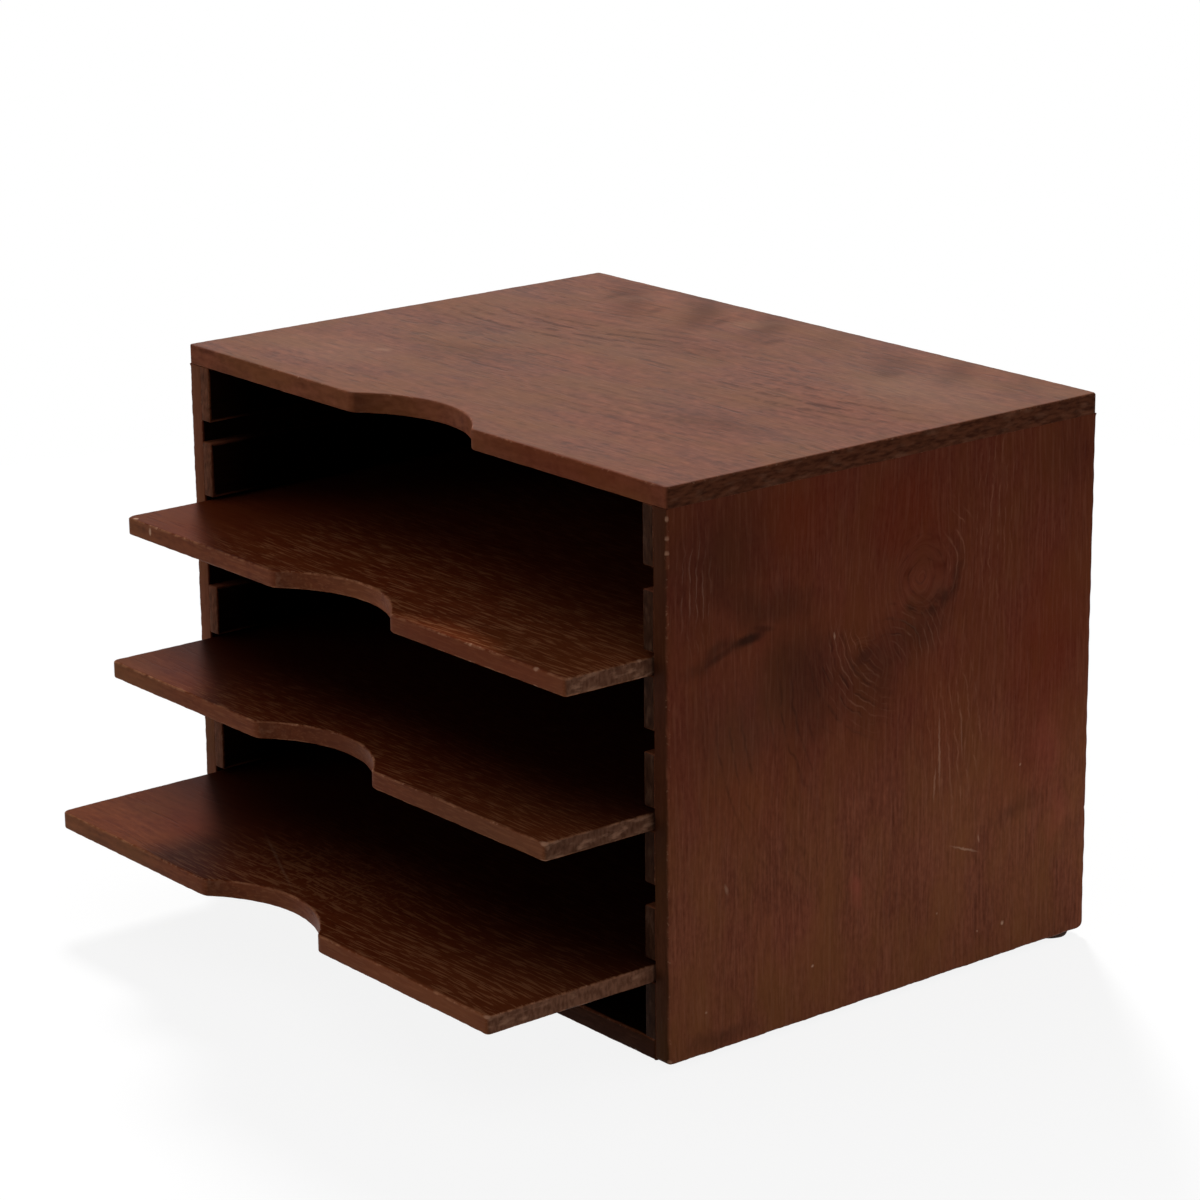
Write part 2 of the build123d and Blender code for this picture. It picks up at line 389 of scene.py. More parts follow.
def add(tree, kind, *values, out=0, **settings):
    """Adds a shader node, such as Math.MULTIPLY, and fills its live sockets in order with values or links.

    A single dict fills sockets by name instead. Returns a live output, by place, slice or name."""
    kind, _, sort = kind.partition(".")
    made = tree.nodes.new("ShaderNode" + kind)
    if sort:
        setattr(made, SORTS[kind], sort)
    for key, value in settings.items():
        setattr(made, key, value)
    sockets = [socket for socket in made.inputs if socket.enabled]
    if values and isinstance(values[0], dict):
        sockets = [made.inputs[name] for name in values[0]]
        values = values[0].values()
    for socket, value in zip(sockets, values):
        if isinstance(value, bpy.types.NodeSocket):
            tree.links.new(value, socket)
        else:
            socket.default_value = linear(value) if isinstance(value, str) else value
    live = [socket for socket in made.outputs if socket.enabled]
    if not live:
        return made
    return made.outputs[out] if isinstance(out, str) else live[out]


def new_material(name):
    """Empty material with its node tree."""
    material = bpy.data.materials.new(name)
    material.use_nodes = True
    material.node_tree.nodes.clear()
    return material, material.node_tree


def object_place(tree):
    """Place on the object, in millimetres."""
    return add(tree, "VectorMath.SCALE", add(tree, "TexCoord", out="Object"), 1 / MM)


def speckle(tree, place, size, low=None, high=None, detail=2.0):
    """Noise with cells of a size in millimetres on the three axes, sharpened between two levels if given."""
    cells = add(tree, "VectorMath.DIVIDE", place, size)
    noise = add(tree, "TexNoise", cells, 1.0, detail)
    if low is None:
        return noise
    return add(tree, "MapRange.SMOOTHSTEP", noise, low, high)


def ragged(tree, place, cell, reach):
    """Place moved by a noise with cells of some size, by up to half of reach: no edge is drawn clean."""
    cells = add(tree, "VectorMath.SCALE", place, 1 / cell)
    noise = add(tree, "TexNoise", cells, 1.0, 2.0, out="Color")
    noise = add(tree, "VectorMath.SUBTRACT", noise, (0.5, 0.5, 0.5))
    return add(tree, "VectorMath.MULTIPLY_ADD", noise, (reach, reach, reach), place)


def ellipsoid_distance(tree, place, centre, turn, size):
    """Distance from a turned ellipsoid's centre in its own half-lengths, and the place counted in them."""
    local = add(tree, "Mapping", place, centre, [math.radians(a) for a in turn], size, vector_type="TEXTURE")
    return add(tree, "VectorMath.LENGTH", local), local


def wood_place(tree, place, order, shift, wander, knots):
    """Places in the wood: along the grain, across the board and through it, plain and as the grain flows.

    The flow strays by a broad noise. It parts round a knot as water does round a post: with a place's
    distance d from the knot counted in knot radii, it moves aside by its own offset / d^2. Near the knot it
    turns into rings, so across becomes the distance itself. Also returns how dark the knots make the wood."""
    axes = add(tree, "SeparateXYZ", place, out=slice(None))
    along, across, through = (axes["XYZ".index(letter)] for letter in order)
    straight = add(tree, "CombineXYZ", along, across, through)
    plain = add(tree, "VectorMath.ADD", straight, shift)
    stray = speckle(tree, plain, *STRAY)
    stray = add(tree, "Math.MULTIPLY_ADD", stray, wander, -wander / 2)
    bent = add(tree, "Math", stray, across)
    heart = 0.0
    flat = ragged(tree, add(tree, "CombineXYZ", along, across), *KNOT_EDGE) if knots else None
    for middle, radius, stretch, turn, dark in knots:
        size = (radius * stretch, radius, KNOT_DEPTH * radius)
        away, local = ellipsoid_distance(tree, flat, (*middle, 0.0), (0, 0, turn), size)
        aside = add(tree, "SeparateXYZ", local, out=1)
        square = add(tree, "Math.MULTIPLY", away, away)
        square = add(tree, "Math.MAXIMUM", square, KNOT_CORE)
        push = add(tree, "Math.DIVIDE", aside, square)
        parted = add(tree, "Math.MULTIPLY_ADD", push, -radius, bent)
        within = add(tree, "MapRange.SMOOTHSTEP", away, *KNOT_RINGS)
        ringed = add(tree, "Math.MULTIPLY_ADD", away, radius, middle[1])
        bent = add(tree, "Mix", within, parted, ringed)
        core = add(tree, "MapRange.SMOOTHSTEP", away, *KNOT_HEART, 0.0, dark)
        heart = add(tree, "Math.MAXIMUM", heart, core)
    flow = add(tree, "VectorMath.ADD", add(tree, "CombineXYZ", along, bent, through), shift)
    return plain, flow, heart


def lay_marks(tree, place, colour, marks):
    """Colour with marks laid over it: soft spots and scratches, each a turned ellipsoid.

    A mark is its centre, size, turn, tint, amount, and the share of its size over which it fades out. A soft
    spot has a wandering edge, a scratch a nearly clean one."""
    spot_place = ragged(tree, ragged(tree, place, *SPOT_GRAIN), *SPOT_DRIFT)
    scratch_place = ragged(tree, place, *SCRATCH_GRAIN)
    for centre, size, turn, tint, amount, softness in marks:
        own_place = spot_place if softness > SOFTEST_SCRATCH else scratch_place
        away, _ = ellipsoid_distance(tree, own_place, centre, turn, size)
        share = add(tree, "MapRange.SMOOTHSTEP", away, 1.0, 1.0 - softness, 0.0, amount)
        colour = add(tree, "Mix.RGBA", share, colour, tint)
    return colour


def lay_lines(tree, place, colour, lines):
    """Colour with sets of curved grain lines laid over it.

    A set is rings about a middle, one at every half spacing more than a whole number of spacings. A ring
    begins at a share of the spacing, and reaches its full tint half way. The set fades out from the centre of
    its zone, a turned ellipsoid, and a noise breaks it up, except where its rings are broad bands."""
    wavering = ragged(tree, ragged(tree, place, *LINE_WAVER), *LINE_GRAIN)
    broken = speckle(tree, place, *LINE_BREAKS)
    for middle, spacing, begin, centre, size, turn, tint, amount in lines:
        away = add(tree, "VectorMath.DISTANCE", wavering, middle)
        phase = add(tree, "Math.PINGPONG", away, spacing / 2)
        line = add(tree, "MapRange.SMOOTHSTEP", phase, begin * spacing, spacing / 2)
        far, _ = ellipsoid_distance(tree, place, centre, turn, size)
        zone = add(tree, "MapRange.SMOOTHSTEP", far, *LINE_ZONE, 0.0, amount)
        share = add(tree, "Math.MULTIPLY", line, zone)
        if begin > BAND_BEGIN:
            share = add(tree, "Math.MULTIPLY", share, broken)
        colour = add(tree, "Mix.RGBA", share, colour, tint)
    return colour


HARDWOOD = {
    "wander": 14.0,  # how far the grain strays
    "ring": 5.0,  # width of a growth ring
    "pith": (40.0, -95.0),  # middle of the tree, across the board and through it
    "fibre_size": (12.0, 1.6, 1.6),
    "grit_size": (3.5, 1.6, 1.6),
    "tones": (0.9, 0.6, 0.12),  # weight of fibres, clouds and rings in light and dark
    "grit": 0.7,  # weight of the finest unevenness
    "pores": 0.4,  # strength of the dark pores
    "pore_size": (16.0, 2.2, 2.2),
    "streaks": 0.15,  # strength of the light streaks of raised grain
    "streak_size": (14.0, 1.9, 1.9),
    "end_size": (4.0, 5.0, 1.3),  # size of the dots on end grain
    "calm": None,  # places along the grain between which the streaks come in; the trays keep them out of the lamp-lit left end, as painted glints
    "ripple": None,  # centre, size and strength of a patch of dotted cross grain
    "stains_and_painted_light": (),  # direction, start, stop, tint and amount of a stain that comes in along a direction; some of them are painted shade and painted light
    "films": (),  # direction, tint and amount of a film on the faces that look that way; some films are painted shade, painted light and painted sheen
    "painted_rear_shade": None,  # the same for painted shade under the end grain and the rubbed arrises
    "shade": None,  # the same for painted shade on the whole piece, arrises too
}


def ramp_stain_and_painted_light(tree, place, colour, stain_and_light):
    """Colour with a tint over it that comes in along a direction between two places. Pieces use it for a
    stain, for painted shade and for painted light.
    """
    direction, start, stop, tint, amount = stain_and_light
    reach = add(tree, "VectorMath.DOT_PRODUCT", place, direction)
    share = add(tree, "MapRange.SMOOTHSTEP", reach, start, stop, 0.0, amount)
    return add(tree, "Mix.RGBA", share, colour, tint)


def raised_grain(tree, place, flow, order, figure):
    """Share of light streaks of raised grain, on the trays partly painted glints: short fine dashes, calm at
    one end, dotted in a patch.
    """
    streaks = speckle(tree, flow, figure["streak_size"], *STREAKS)
    if figure["calm"]:
        along = add(tree, "SeparateXYZ", place, out="XYZ".index(order[0]))
        wild = add(tree, "MapRange.SMOOTHSTEP", along, *figure["calm"])
        streaks = add(tree, "Math.MULTIPLY", streaks, wild)
    if figure["ripple"]:
        centre, size, strength = figure["ripple"]
        away, _ = ellipsoid_distance(tree, place, centre, (0, 0, 0), size)
        zone = add(tree, "MapRange.SMOOTHSTEP", away, *RIPPLE_ZONE, 0.0, strength)
        dots = add(tree, "Math.MULTIPLY", speckle(tree, place, *RIPPLE_DOTS), zone)
        streaks = add(tree, "Math.MAXIMUM", streaks, dots)
    return streaks


def end_grain(tree, plain, rings, size, palette):
    """Colour of the end grain: dots of cut fibres in faint rings, with pale scuffs."""
    dots = speckle(tree, plain, size, *END_DOTS)
    scuffs = speckle(tree, plain, *SCUFFS)
    tone = add(tree, "Mix", END_RINGS, dots, rings)
    colour = add(tree, "Mix.RGBA", tone, palette["end_light"], palette["end_dark"])
    share = add(tree, "Math.MULTIPLY", scuffs, palette["scuff"])
    return add(tree, "Mix.RGBA", share, colour, palette["bare"])


def worn_arrises_and_inside_shade(tree, place, plain, colour, palette):
    """Colour with arrises rubbed in patches and nicked, chips bare, and faces inside the case painted near
    black as painted shade.
    """
    patches = speckle(tree, plain, *RUBBED_PATCHES)
    nicks = speckle(tree, place, *NICKS)
    rubbed = add(tree, "Attribute", out="Fac", attribute_name="rubbed")
    for pattern, amount, tint in ((patches, "rub", "rubbed"), (nicks, "nick", "bare")):
        share = add(tree, "Math.MULTIPLY", pattern, palette[amount])
        share = add(tree, "Math.MULTIPLY", rubbed, share)
        colour = add(tree, "Mix.RGBA", share, colour, palette[tint])
    bare = add(tree, "Attribute", out="Fac", attribute_name="bare")
    share = add(tree, "MapRange", bare, *CHIP_BARE, 0.0, CHIP_SHARE)
    colour = add(tree, "Mix.RGBA", share, colour, palette["bare"])
    # Painted shade: the faces inside the case go near black
    inside = add(tree, "Attribute", out="Fac", attribute_name="inside")
    share = add(tree, "Math.MULTIPLY", inside, INSIDE_SHARE)
    return add(tree, "Mix.RGBA", share, colour, palette["inside"])


def stained_hardwood(name, order, shift, palette, figure, knots=(), marks=(), lines=()):
    """Open-grained hardwood, planed, stained red-brown and oiled to a dull sheen.

    It shows fine fibres, dark open pores in bands, light streaks of raised grain, clouds of uneven stain,
    growth rings and dots on end grain, and paler wood where the arrises are rubbed through or chipped.
    Fibres, pores and streaks are drawn several times as wide as real ones, so that they show in the render.
    order names the axes along the grain, across the board and through it, and shift moves the pattern."""
    figure = HARDWOOD | figure
    material, tree = new_material(name)
    place = object_place(tree)
    plain, flow, heart = wood_place(tree, place, order, shift, figure["wander"], knots)
    normal = add(tree, "TexCoord", out="Normal")
    facings = []
    for letter in (order[0], order[2]):
        axis = [float(letter == other) for other in "XYZ"]
        facing = add(tree, "VectorMath.DOT_PRODUCT", normal, axis)
        facing = add(tree, "Math.ABSOLUTE", facing)
        facings.append(add(tree, "MapRange", facing, *FACING))
    end, broad = facings

    fibres = speckle(tree, flow, figure["fibre_size"], *FIBRES)
    clouds = speckle(tree, plain, *CLOUDS)
    centred = add(tree, "VectorMath.SUBTRACT", flow, (0.0, *figure["pith"]))
    drawn_out = add(tree, "VectorMath.MULTIPLY", centred, RING_STRETCH)
    rings = add(tree, "TexWave", drawn_out, RING_TURN / figure["ring"], *RING_WAVER, out="Fac",
                wave_type="RINGS", rings_direction="X")
    sorts = add(tree, "CombineXYZ", fibres, clouds, rings)
    tone = add(tree, "VectorMath.DOT_PRODUCT", sorts, figure["tones"])
    grit = speckle(tree, flow, figure["grit_size"], *GRIT)
    middle_tone = 0.5 - (sum(figure["tones"]) + figure["grit"]) / 2
    grit = add(tree, "Math.MULTIPLY_ADD", grit, figure["grit"], middle_tone)
    tone = add(tree, "Math", tone, grit, use_clamp=True)
    colour = add(tree, "Mix.RGBA", tone, palette["dark"], palette["light"])
    share = add(tree, "MapRange", speckle(tree, plain, *WARMTH), *WARM_FADE, 0.0, WARM_SHARE)
    colour = add(tree, "Mix.RGBA", share, colour, palette["warm"])

    bands = speckle(tree, flow, *PORE_BANDS)
    pores = speckle(tree, flow, figure["pore_size"], *PORES)
    pores = add(tree, "Math.MULTIPLY", pores, bands)
    strength = add(tree, "MapRange", broad, 0.0, 1.0, EDGE_PORES * figure["pores"], figure["pores"])
    share = add(tree, "Math.MULTIPLY", pores, strength)
    colour = add(tree, "Mix.RGBA", share, colour, palette["pore"])
    if knots:
        colour = add(tree, "Mix.RGBA", heart, colour, palette["knot"])

    # A stain along a direction; on the sides and trays some of these are painted shade and painted light
    for stain in figure["stains_and_painted_light"]:
        colour = ramp_stain_and_painted_light(tree, place, colour, stain)
    # Films on faces that look one way; several are painted shade, painted light and painted sheen
    for direction, tint, amount in figure["films"]:
        facing = add(tree, "VectorMath.DOT_PRODUCT", normal, direction)
        share = add(tree, "MapRange", facing, *FILM_FACING, 0.0, amount)
        colour = add(tree, "Mix.RGBA", share, colour, tint)
    streaks = raised_grain(tree, place, flow, order, figure)
    strength = add(tree, "MapRange", broad, 0.0, 1.0, EDGE_STREAKS * figure["streaks"], figure["streaks"])
    share = add(tree, "Math.MULTIPLY", streaks, strength)
    colour = add(tree, "Mix.RGBA", share, colour, palette["streak"])
    if lines:
        colour = lay_lines(tree, place, colour, lines)
    if marks:
        colour = lay_marks(tree, place, colour, marks)
    # Painted shade, darker towards the rear of a tray, under the end grain and the rubbed arrises
    if figure["painted_rear_shade"]:
        colour = ramp_stain_and_painted_light(tree, place, colour, figure["painted_rear_shade"])
    ends = end_grain(tree, plain, rings, figure["end_size"], palette)
    colour = add(tree, "Mix.RGBA", end, colour, ends)
    colour = worn_arrises_and_inside_shade(tree, place, plain, colour, palette)
    # Painted shade over the whole piece
    if figure["shade"]:
        colour = ramp_stain_and_painted_light(tree, place, colour, figure["shade"])

    relief = add(tree, "CombineXYZ", fibres, pores, streaks)
    height = add(tree, "VectorMath.DOT_PRODUCT", relief, RELIEF)
    bump = add(tree, "Bump", {"Strength": 0.3, "Distance": 0.2 * MM, "Height": height})
    rough = add(tree, "Math.MULTIPLY_ADD", clouds, *ROUGHNESS)
    shader = add(tree, "BsdfPrincipled", {
        "Base Color": colour, "Roughness": rough, "IOR": 1.5, "Specular IOR Level": 0.012, "Normal": bump,
    })
    add(tree, "OutputMaterial", shader)
    return material


def pressed_felt():
    """Brown wool felt, pressed: a dull mat of short fibres in mixed browns."""
    material, tree = new_material("pressed_wool_felt")
    place = object_place(tree)
    fibres = speckle(tree, place, *FELT_FIBRES)
    colour = add(tree, "Mix.RGBA", fibres, "#2b1c14", "#5c4030")
    bump = add(tree, "Bump", {"Strength": 0.8, "Distance": 0.3 * MM, "Height": fibres})
    shader = add(tree, "BsdfPrincipled", {
        "Base Color": colour, "Roughness": 0.95, "Specular IOR Level": 0.1, "Sheen Weight": 0.15,
        "Normal": bump,
    })
    add(tree, "OutputMaterial", shader)
    return material


def drawn_steel():
    """Mild steel wire, drawn and cut into pins: grey metal, dulled unevenly by age, with a few rust spots."""
    material, tree = new_material("drawn_steel")
    place = object_place(tree)
    dull = speckle(tree, place, *STEEL_DULLNESS)
    rust = speckle(tree, place, *RUST_SPOTS)
    colour = add(tree, "Mix.RGBA", dull, "#6f6c69", "#a5a29e")
    colour = add(tree, "Mix.RGBA", rust, colour, "#59351f")
    rough = add(tree, "MapRange", rust, 0.0, 1.0, 0.4, 0.8)
    shader = add(tree, "BsdfPrincipled", {"Base Color": colour, "Metallic": 1.0, "Roughness": rough})
    add(tree, "OutputMaterial", shader)
    return material


def turned_beech():
    """Beech rod, turned for dowels: pale pink-brown with short darker flecks along the rod, unfinished."""
    material, tree = new_material("turned_beech")
    place = object_place(tree)
    flecks = speckle(tree, place, *BEECH_FLECKS)
    tone = speckle(tree, place, *BEECH_TONE)
    colour = add(tree, "Mix.RGBA", tone, "#b48a64", "#d0aa84")
    share = add(tree, "Math.MULTIPLY", flecks, 0.5)
    colour = add(tree, "Mix.RGBA", share, colour, "#8a5f41")
    shader = add(tree, "BsdfPrincipled", {"Base Color": colour, "Roughness": 0.6, "IOR": 1.5})
    add(tree, "OutputMaterial", shader)
    return material


# Colours of the stained wood, and the strength of its rubbed arrises, nicks and scuffs; "inside" is painted
# shade, the near black of the faces inside the case
RED_BROWN = {
    "dark": "#4d2518", "light": "#864d37", "warm": "#724526", "pore": "#2a120b", "streak": "#9c6850",
    "knot": "#1f130d", "end_dark": "#391c10", "end_light": "#5e3523", "rubbed": "#9a5a40", "rub": 0.5,
    "bare": "#b88b70", "nick": 0.5, "scuff": 0.08, "inside": "#080302",
}
TRAY_BROWN = RED_BROWN | {
    "dark": "#4a2010", "light": "#8a4e2e", "warm": "#6d401f", "streak": "#a06a48", "pore": "#1c0803",
    "end_dark": "#503224", "end_light": "#704c3a", "scuff": 0.35, "rubbed": "#ad7757", "rub": 0.7,
}
# Lit and shaded copies of one finish: painted light makes the left runners' ends paler, painted shade the
# right ones darker
RUNNER_BROWN = {
    "left": RED_BROWN | {"end_dark": "#452718", "end_light": "#6c4230"},
    "right": RED_BROWN | {"end_dark": "#2a170f", "end_light": "#40281c"},
}
VENEER_BROWN = RED_BROWN | {"dark": "#3f2118", "light": "#6a4030"}
PALE, LIGHT_GRAIN, DARK, SMOKE, UMBER = "#c0997f", "#a06e54", "#2a1610", "#281a12", "#3a1c12"
RING_LIGHT, CHAR = "#a8745a", "#16100c"
ORANGE, PINK, RUST = "#78401c", "#8e4638", "#66220c"
BRICK, CARAMEL, HAZE = "#5c1d09", "#9a5634", "#3a3027"
UP, FRONT, BACK, RIGHT = (0, 0, 1), (0, -1, 0), (0, 1, 0), (1, 0, 0)
INWARD = (0.6, 0.8, 0.0)  # from a tray's front left corner towards its middle, across the edge of the shadow that the case casts from the rear left lamp


def side_softness(points, low, high):
    """The arris under the top board is almost sharp, and reaches full size one arris lower."""
    return np.clip(SHARP_ARRIS + (high[1] - points[:, 1]) * ARRIS_GROWTH, SHARP_ARRIS, 1.0)


def front_softness(points, low, high):
    """Only the front arris of a board is rounded, between its two ends."""
    in_front = points[:, 1] < low[1] + SCOOP_DEPTH + ARRIS_MARGIN
    between = np.abs(points[:, 0]) < high[0] - ARRIS_MARGIN
    return np.where(in_front & between, 1.0, PLAIN_ARRIS)


back_low, back_high = node_box("back_panel")
_, top_high = node_box("top_board")
CASE = "case_body"

# Top board: dry and faded above, where its grey film is also painted sheen, with scalloped figure along the
# rear edge
MARK_DEPTH = 20  # half of how far a mark or a set of lines reaches into the wood
LINE_BEGIN = 0.34  # share of their spacing at which thin lines begin
TOP_Z = top_high[2]
TOP_MARKS = [
    ((x, y, TOP_Z), (length, width, MARK_DEPTH), (0, 0, turn), tint, amount, softness)
    for x, y, length, width, turn, tint, amount, softness in [
        (83, 86, 38, 15, -65, UMBER, 0.2, 1.0), (105, -36, 44, 22, 0, UMBER, 0.27, 1.0),
        (-72, -34, 56, 22, 8, UMBER, 0.28, 1.0), (-20, 45, 70, 30, 10, UMBER, 0.18, 1.0),
        (-70, 75, 130, 60, 0, ORANGE, 0.12, 1.0), (115, 66, 70, 44, 0, PALE, 0.09, 1.0),
        (-110, 97, 14, 20, -20, PALE, 0.07, 1.0), (-30, 100, 14, 20, -20, PALE, 0.07, 1.0),
        (-120, -75, 55, 34, 0, PALE, 0.08, 1.0),
        (-98, -62, 6, 3, 0, PALE, 0.15, 1.0), (-121, 90, 5, 13, 14, UMBER, 0.4, 0.85),
        (-83, 85, 5, 12, 22, UMBER, 0.35, 0.85), (-44, 92, 5, 14, 26, UMBER, 0.4, 0.85),
        (4, 82, 5, 12, 8, UMBER, 0.4, 0.85), (86, 78, 8, 10, 30, UMBER, 0.3, 0.85),
        (0, 15, 26, 1.7, 1, DARK, 0.4, 0.8), (115, 2, 50, 1.5, 2, DARK, 0.3, 0.8),
        (112, 16, 14, 1.8, 14, DARK, 0.4, 0.8), (72, 20, 20, 1.6, 8, DARK, 0.25, 0.8),
        (110, -121, 90, 3, 0, BRICK, 0.45, 0.8),
        (140, -7, 26, 1.4, -2, DARK, 0.25, 0.8), (-80, 14, 30, 1.6, 5, DARK, 0.25, 0.8),
    ]
]
TOP_LINES = [
    ((*middle, TOP_Z), spacing, begin, (*centre, TOP_Z), (*size, MARK_DEPTH), (0, 0, turn), UMBER, amount)
    for middle, spacing, begin, centre, size, turn, amount in [
        ((-219, -33), 37.0, BAND_BEGIN, (-66, 96), (130, 42), 0, 0.56),
        ((-20, 20), 33.0, BAND_BEGIN, (96, 94), (70, 38), 0, 0.4),
        ((-108, 230), 9.3, 0.2, (-76, 30), (120, 34), 14, 0.7),
        ((60, 300), 10.1, 0.2, (100, 20), (95, 42), 6, 0.6),
        ((0, 640), 8.1, 0.2, (60, -50), (130, 40), 0, 0.3),
    ]
]
top_wood = stained_hardwood(
    "oiled_top_wood", "XYZ", (31, 9, 4), RED_BROWN,
    {"wander": 26.0, "tones": (1.0, 0.5, 0.1), "fibre_size": (15.0, 3.0, 3.0), "grit_size": (4.5, 3.0, 3.0),
     "grit": 0.9, "pores": 0.32, "pore_size": (13.0, 2.8, 2.8), "streaks": 0.06,
     # The grey film on the upper face is partly fading and partly painted sheen
     "films": [(UP, "#7c8684", 0.09)]},
    marks=TOP_MARKS, lines=TOP_LINES,
)
worn_board(
    "top_board", CASE, top_wood, "XY", "+Z", arris=0.9, under_arris=0.7, corner=1.8,
    arcs=scooped_arcs, under_soft=front_softness, inside="under", seed=11,
    rebate={"depth": top_high[2] - back_high[2] - BACK_FIT, "axis": 1, "limit": back_low[1],
            "reach": back_high[0] + BACK_FIT},
)

# Sides: knots on the right one, as middle (along, across), radius, stretch, turn and darkness
RIGHT_KNOTS = [
    ((186.0, 18.0), 9.0, 1.1, 0.0, 0.1),
    ((158.0, -14.0), 8.0, 0.6, 25.0, 0.2),
]
SIDE_X = top_high[0]
RIGHT_MARKS = [
    ((SIDE_X, y, z), (MARK_DEPTH, wide, high), (turn, 0, 0), tint, amount, softness)
    for y, z, wide, high, turn, tint, amount, softness in [
        (95, 138, 32, 66, 0, RUST, 0.36, 1.0), (-48, 226, 34, 24, 0, RUST, 0.34, 1.0),
        (10, 216, 40, 26, 0, RUST, 0.34, 1.0), (-75, 110, 30, 30, 15, ORANGE, 0.2, 1.0),
        (-82, 142, 44, 34, 0, HAZE, 0.26, 1.0), (85, 88, 42, 34, 0, RUST, 0.2, 1.0),
        (30, 120, 20, 40, 0, ORANGE, 0.2, 1.0), (96, 96, 14, 26, 0, PINK, 0.22, 1.0),
        (101, 60, 10, 20, 0, PINK, 0.3, 1.0), (-16, 56, 6.5, 9, 0, PINK, 0.5, 0.9),
        (-60, 45, 45, 30, 0, PINK, 0.12, 1.0), (-95, 214, 44, 44, 0, SMOKE, 0.4, 1.0),
        (-54, 162, 30, 26, 40, SMOKE, 0.4, 1.0), (-42, 146, 26, 38, -25, SMOKE, 0.36, 1.0),
        (-96, 173, 26, 8, 15, SMOKE, 0.5, 1.0), (-66, 190, 40, 12, -8, SMOKE, 0.4, 1.0),
        (12, 162, 38, 20, 25, SMOKE, 0.4, 1.0), (-14, 146, 24, 28, 30, SMOKE, 0.36, 1.0),
        (-78, 178, 12, 3.4, 6, CHAR, 0.75, 0.8), (-94, 173.5, 12, 2.4, 20, CHAR, 0.4, 0.8),
        (-70, 181, 8, 2.0, -12, CHAR, 0.4, 0.8), (18, 184, 13, 11, 0, PINK, 0.14, 1.0),
        (-14, 158, 8, 4.5, 30, "#3a1a14", 0.5, 0.8), (75, 70, 20, 8, 12, SMOKE, 0.35, 1.0),
        (-92, 8, 30, 6, 0, SMOKE, 0.35, 1.0), (105, 225, 22, 26, 0, SMOKE, 0.15, 1.0),
        (46, 58.2, 11.5, 0.7, -22, PALE, 0.35, 0.8), (54.5, 61, 0.7, 2.6, 14, PALE, 0.3, 0.8),
        (30, 106, 0.8, 24, 1, PALE, 0.22, 0.8), (27.5, 92, 0.7, 10, -4, PALE, 0.2, 0.8),
        (43, 112, 0.7, 16, 4, PALE, 0.12, 0.8), (70, 18, 1.3, 1.3, 0, PALE, 0.7, 0.8),
        (54.5, 18, 0.8, 0.8, 0, PALE, 0.5, 0.8), (-42, 27, 0.9, 0.9, 0, PALE, 0.6, 0.8),
        (30, 32.5, 0.7, 0.7, 0, PALE, 0.4, 0.8), (79, 89.5, 0.9, 0.9, 0, PALE, 0.4, 0.8),
        (-101, 21.6, 0.8, 0.8, 0, PALE, 0.4, 0.8), (-90, 73, 1.2, 3.4, 20, PALE, 0.25, 0.8),
        (-31, 170, 0.8, 2.2, 10, PALE, 0.4, 0.8),
    ]
]
RIGHT_LINES = [
    ((SIDE_X, *middle), spacing, LINE_BEGIN, (SIDE_X, *centre), (MARK_DEPTH, *size), (turn, 0, 0),
     tint, amount)
    for middle, spacing, centre, size, turn, tint, amount in [
        ((-2, 150), 3.3, (16, 163), (22, 20), 0, RING_LIGHT, 0.34),
        ((-2, 150), 6.1, (10, 168), (24, 20), 0, DARK, 0.5),
        ((15, 180), 3.1, (-20, 150), (20, 38), 33, RING_LIGHT, 0.32),
        ((15, 180), 6.7, (-24, 148), (26, 42), 33, DARK, 0.5),
        ((20, 192), 42.0, (28, 180), (28, 26), 0, DARK, 0.6),
        ((18, 188), 4.6, (40, 196), (12, 30), 0, "#9c6850", 0.3),
        ((18, 186), 5.2, (18, 190), (24, 26), 0, DARK, 0.4),
        ((33, 159), 7.0, (-84, 122), (24, 42), 17, DARK, 0.38),
        ((33, 159), 6.5, (-54, 134), (18, 42), 19, DARK, 0.42),
        ((33, 159), 9.0, (-60, 80), (40, 46), 10, DARK, 0.15),
        ((400, 190), 3.6, (-106, 204), (14, 34), 0, "#a87c66", 0.3),
        ((400, 190), 4.2, (60, 205), (18, 60), 0, LIGHT_GRAIN, 0.25),
        ((-300, 60), 4.8, (40, 110), (30, 60), 0, LIGHT_GRAIN, 0.25),
        ((-300, 60), 5.6, (-60, 60), (60, 60), 0, DARK, 0.2),
    ]
]
LEFT_MARKS = [((-SIDE_X, -121, 50), (20, 3, 60), (0, 0, 0), UMBER, 0.45, 0.8)]
